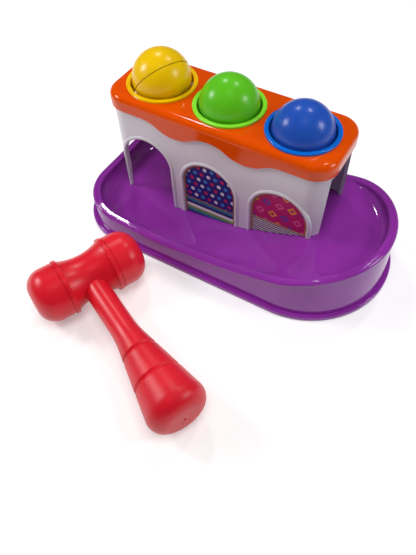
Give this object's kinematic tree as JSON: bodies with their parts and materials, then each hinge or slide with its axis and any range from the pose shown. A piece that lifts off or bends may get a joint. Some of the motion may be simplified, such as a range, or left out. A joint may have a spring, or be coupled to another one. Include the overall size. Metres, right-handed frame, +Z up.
{
  "type": "ball pounding toy",
  "caption": "Toddler's pounding toy: a shallow boat-shaped tray carries an arched tower with coloured balls held in its roof collars, and a loose hammer knocks them through.",
  "frame": {"origin": "the middle of the flat underside of the base plate, which is the face the toy stands on", "axes": "+Z up, -Y toward the front with the arches and the hammer, +X toward the tray's high round end"},
  "size_m": [0.2616, 0.2661, 0.1352],
  "materials": {
    "purple_shell": "glossy moulded plastic",
    "white_shell": "semi-gloss moulded plastic",
    "orange_shell": "glossy moulded plastic",
    "yellow_collar_plastic": "glossy moulded plastic",
    "green_collar_plastic": "glossy moulded plastic",
    "blue_collar_plastic": "glossy moulded plastic",
    "yellow_ball_plastic": "glossy moulded plastic",
    "green_ball_plastic": "glossy moulded plastic",
    "blue_ball_plastic": "glossy moulded plastic",
    "red_plastic": "satin moulded plastic",
    "middle_print": "printed film, satin",
    "right_print": "printed film, satin",
    "screw_steel": "zinc plated"
  },
  "bodies": {
    "toy": {"base_plate": "purple_shell", "base_tray": "purple_shell", "base_screws": "screw_steel", "tower_body": "white_shell", "tower_screws": "screw_steel", "middle_label": "middle_print", "right_label": "right_print", "roof": "orange_shell", "roof_screws": "screw_steel", "yellow_collar": "yellow_collar_plastic", "green_collar": "green_collar_plastic", "blue_collar": "blue_collar_plastic", "yellow_grip": "yellow_collar_plastic", "green_grip": "green_collar_plastic", "blue_grip": "blue_collar_plastic"},
    "yellow_ball": {"yellow_ball_upper": "yellow_ball_plastic", "yellow_ball_lower": "yellow_ball_plastic"},
    "green_ball": {"green_ball_upper": "green_ball_plastic", "green_ball_lower": "green_ball_plastic"},
    "blue_ball": {"blue_ball_upper": "blue_ball_plastic", "blue_ball_lower": "blue_ball_plastic"},
    "hammer": {"hammer_head": "red_plastic", "hammer_cap_left": "red_plastic", "hammer_cap_right": "red_plastic", "hammer_handle": "red_plastic"}
  },
  "joints": [
    {"name": "yellow_ball_drop", "type": "slide", "parent": "toy", "child": "yellow_ball", "axis": [0, 0, 1], "range_m": [-0.078, 0.06], "deforming": ["yellow_grip"]},
    {"name": "green_ball_drop", "type": "slide", "parent": "toy", "child": "green_ball", "axis": [0, 0, 1], "range_m": [-0.0735, 0.06], "deforming": ["green_grip"]},
    {"name": "blue_ball_drop", "type": "slide", "parent": "toy", "child": "blue_ball", "axis": [0, 0, 1], "range_m": [-0.0552, 0.06], "deforming": ["blue_grip"]},
    {"name": "hammer_lift", "type": "slide", "parent": "toy", "child": "hammer", "axis": [0, 0, 1], "range_m": [0, 0.12]}
  ]
}
